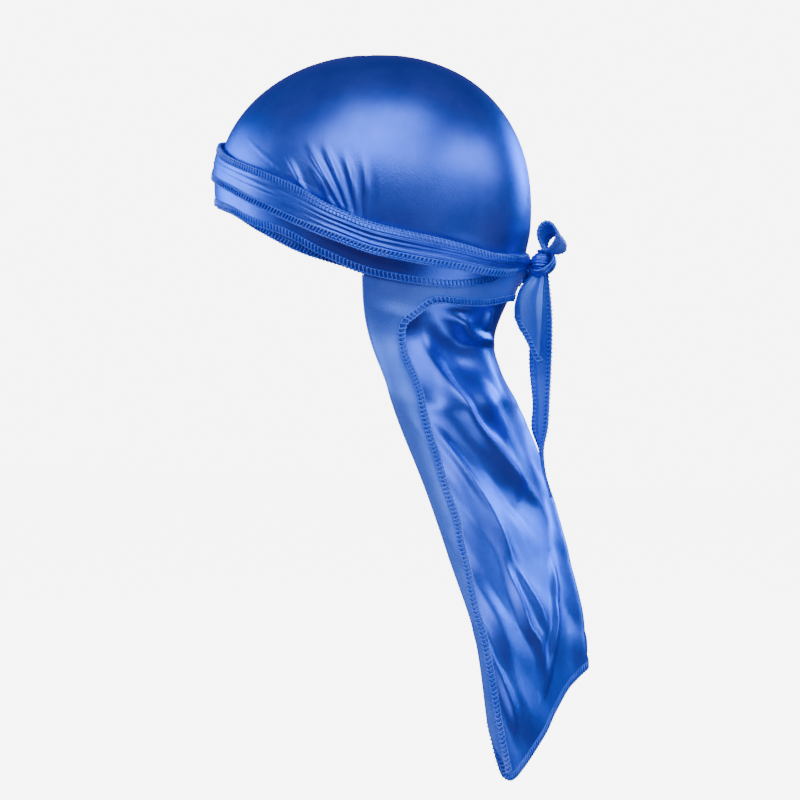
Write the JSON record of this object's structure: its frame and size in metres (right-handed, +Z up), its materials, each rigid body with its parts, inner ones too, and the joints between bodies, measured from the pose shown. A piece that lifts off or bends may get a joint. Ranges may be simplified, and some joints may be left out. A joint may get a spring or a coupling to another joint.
{
  "type": "durag",
  "caption": "Satin durag in its worn and tied form: gathered crown, straps wound round it to a knot with a bow loop and tails, and a long draped cape behind.",
  "frame": {"origin": "inner top of the crown, where the cloth sits on the top of the head", "axes": "+Z up, -Y towards the forehead, +X towards the wearer's left; the cape hangs down behind, towards +Y and -Z"},
  "size_m": [0.1884, 0.2325, 0.4041],
  "materials": {
    "satin": "royal blue stretch satin, soft broad sheen, overlocked edges",
    "satin_glossy": "royal blue stretch satin, hanging in glossy folds"
  },
  "bodies": {
    "root": {"crown": "satin", "strap_left": "satin", "strap_right": "satin", "cape": "satin_glossy", "knot": "satin", "bow_loop": "satin", "tail_short": "satin", "tail_long": "satin"}
  },
  "joints": []
}
